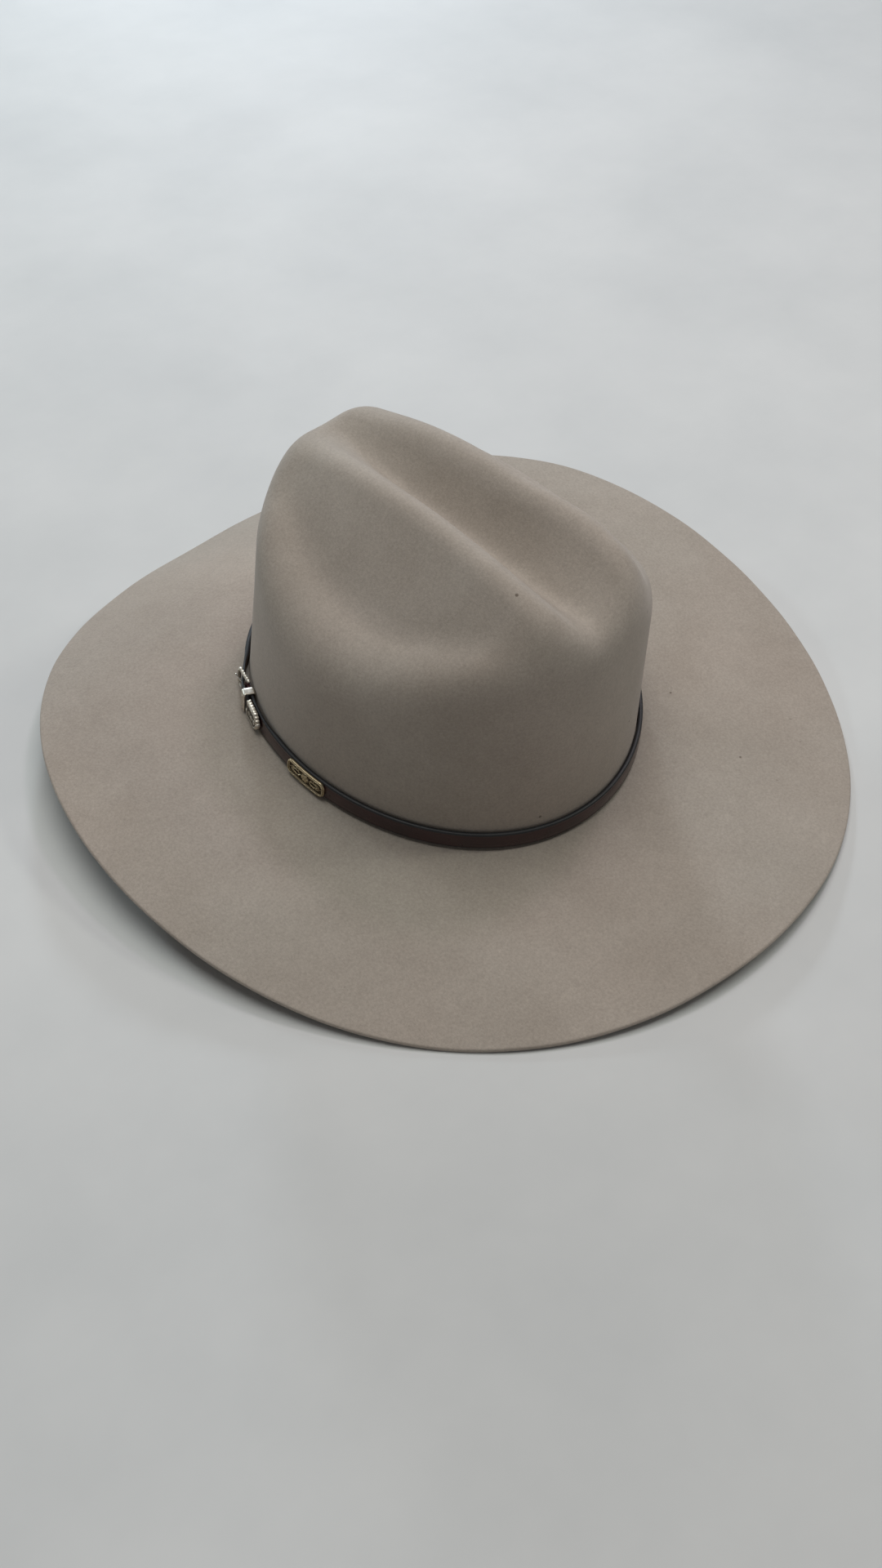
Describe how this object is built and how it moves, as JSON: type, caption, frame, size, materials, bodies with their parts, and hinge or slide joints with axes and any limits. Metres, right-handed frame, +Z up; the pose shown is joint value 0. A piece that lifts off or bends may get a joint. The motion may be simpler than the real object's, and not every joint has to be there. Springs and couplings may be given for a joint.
{
  "type": "cowboy hat",
  "caption": "Felt western hat with a creased crown, a wide brim curled up at the sides, a slim buckled leather hatband, and a leather sweatband and satin lining inside.",
  "frame": {"origin": "on the surface the hat stands on, under the middle of its bounding box", "axes": "-Y is the front of the hat, +X the wearer's left, +Z up; the hat stands on its front brim edge and its two rear corners"},
  "size_m": [0.3854, 0.4041, 0.1525],
  "materials": {
    "felt": "short-napped fur felt",
    "band_leather": "smooth, waxed",
    "sweat_leather": "smooth roan leather",
    "lining_satin": "satin",
    "ribbon": "satin ribbon",
    "thread": "waxed thread",
    "reed_plastic": "smooth",
    "clear_shield": "clear film",
    "silver_metal": "engraved, softly polished",
    "aged_brass": "antiqued, worn bright on the high spots"
  },
  "bodies": {
    "hat": {"felt_body": "felt", "sweatband": "sweat_leather", "sweatband_reed": "reed_plastic", "reed_tape": "ribbon", "sweatband_stitching": "thread", "sweatband_splice": "sweat_leather", "sweatband_bow": "ribbon", "liner_side": "lining_satin", "liner_tip": "lining_satin", "liner_piping": "ribbon", "liner_shield": "clear_shield"},
    "hatband": {"hatband_strap": "band_leather", "buckle_chape": "band_leather", "strap_tip": "silver_metal", "strap_tip_rivet": "silver_metal", "badge_plaque": "aged_brass", "badge_prongs": "aged_brass"},
    "buckle": {"buckle_frame": "silver_metal", "buckle_bar": "silver_metal"},
    "tongue": {"buckle_tongue": "silver_metal"},
    "keeper": {"keeper_loop": "silver_metal"}
  },
  "joints": [
    {"name": "hatband_lift", "type": "slide", "parent": "hat", "child": "hatband", "axis": [0, 0.0817, 0.9967], "range_m": [0, 0.16]},
    {"name": "buckle_swing", "type": "hinge", "parent": "hatband", "child": "buckle", "pos_m": [0.0768, -0.06462, 0.03358], "axis": [-0.08, 0.0517, 0.9955], "range_deg": [0, 35]},
    {"name": "tongue_swing", "type": "hinge", "parent": "buckle", "child": "tongue", "pos_m": [0.0768, -0.06462, 0.03358], "axis": [-0.08, 0.0517, 0.9955], "range_deg": [0, 35]},
    {"name": "keeper_slide", "type": "slide", "parent": "hatband", "child": "keeper", "axis": [0.4477, 0.8941, -0.0112], "range_m": [-0.0025, 0.002]}
  ]
}
